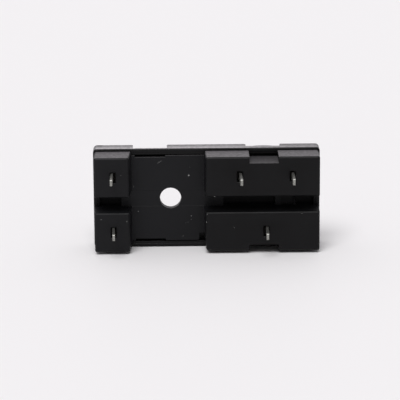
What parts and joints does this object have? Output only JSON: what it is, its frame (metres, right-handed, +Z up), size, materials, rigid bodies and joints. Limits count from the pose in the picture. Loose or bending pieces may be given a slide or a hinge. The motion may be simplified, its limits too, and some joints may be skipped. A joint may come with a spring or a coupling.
{
  "type": "printed-circuit relay socket",
  "caption": "Black relay socket for a printed-circuit board: two pin blocks joined by a thin web with a screw hole, a tray-shaped cover, and tinned contacts whose flat solder tails stand out.",
  "frame": {"origin": "middle of the bounding box in X and Y, at the surface the part rests on", "axes": "+X along the length towards the large block, +Y out of the relay face, -Y out of the board face with the solder tails, +Z up, across the two contact rows"},
  "size_m": [0.0304, 0.0096, 0.0136],
  "materials": {
    "base_plastic": "fine satin moulded surface",
    "cover_plastic": "smooth satin moulded surface",
    "tinned_contact": "bright tin plate on copper alloy"
  },
  "bodies": {
    "root": {"base": "base_plastic", "cover": "cover_plastic", "contact_coil_upper": "tinned_contact", "contact_coil_lower": "tinned_contact", "contact_inner": "tinned_contact", "contact_middle": "tinned_contact", "contact_outer": "tinned_contact"}
  },
  "joints": []
}
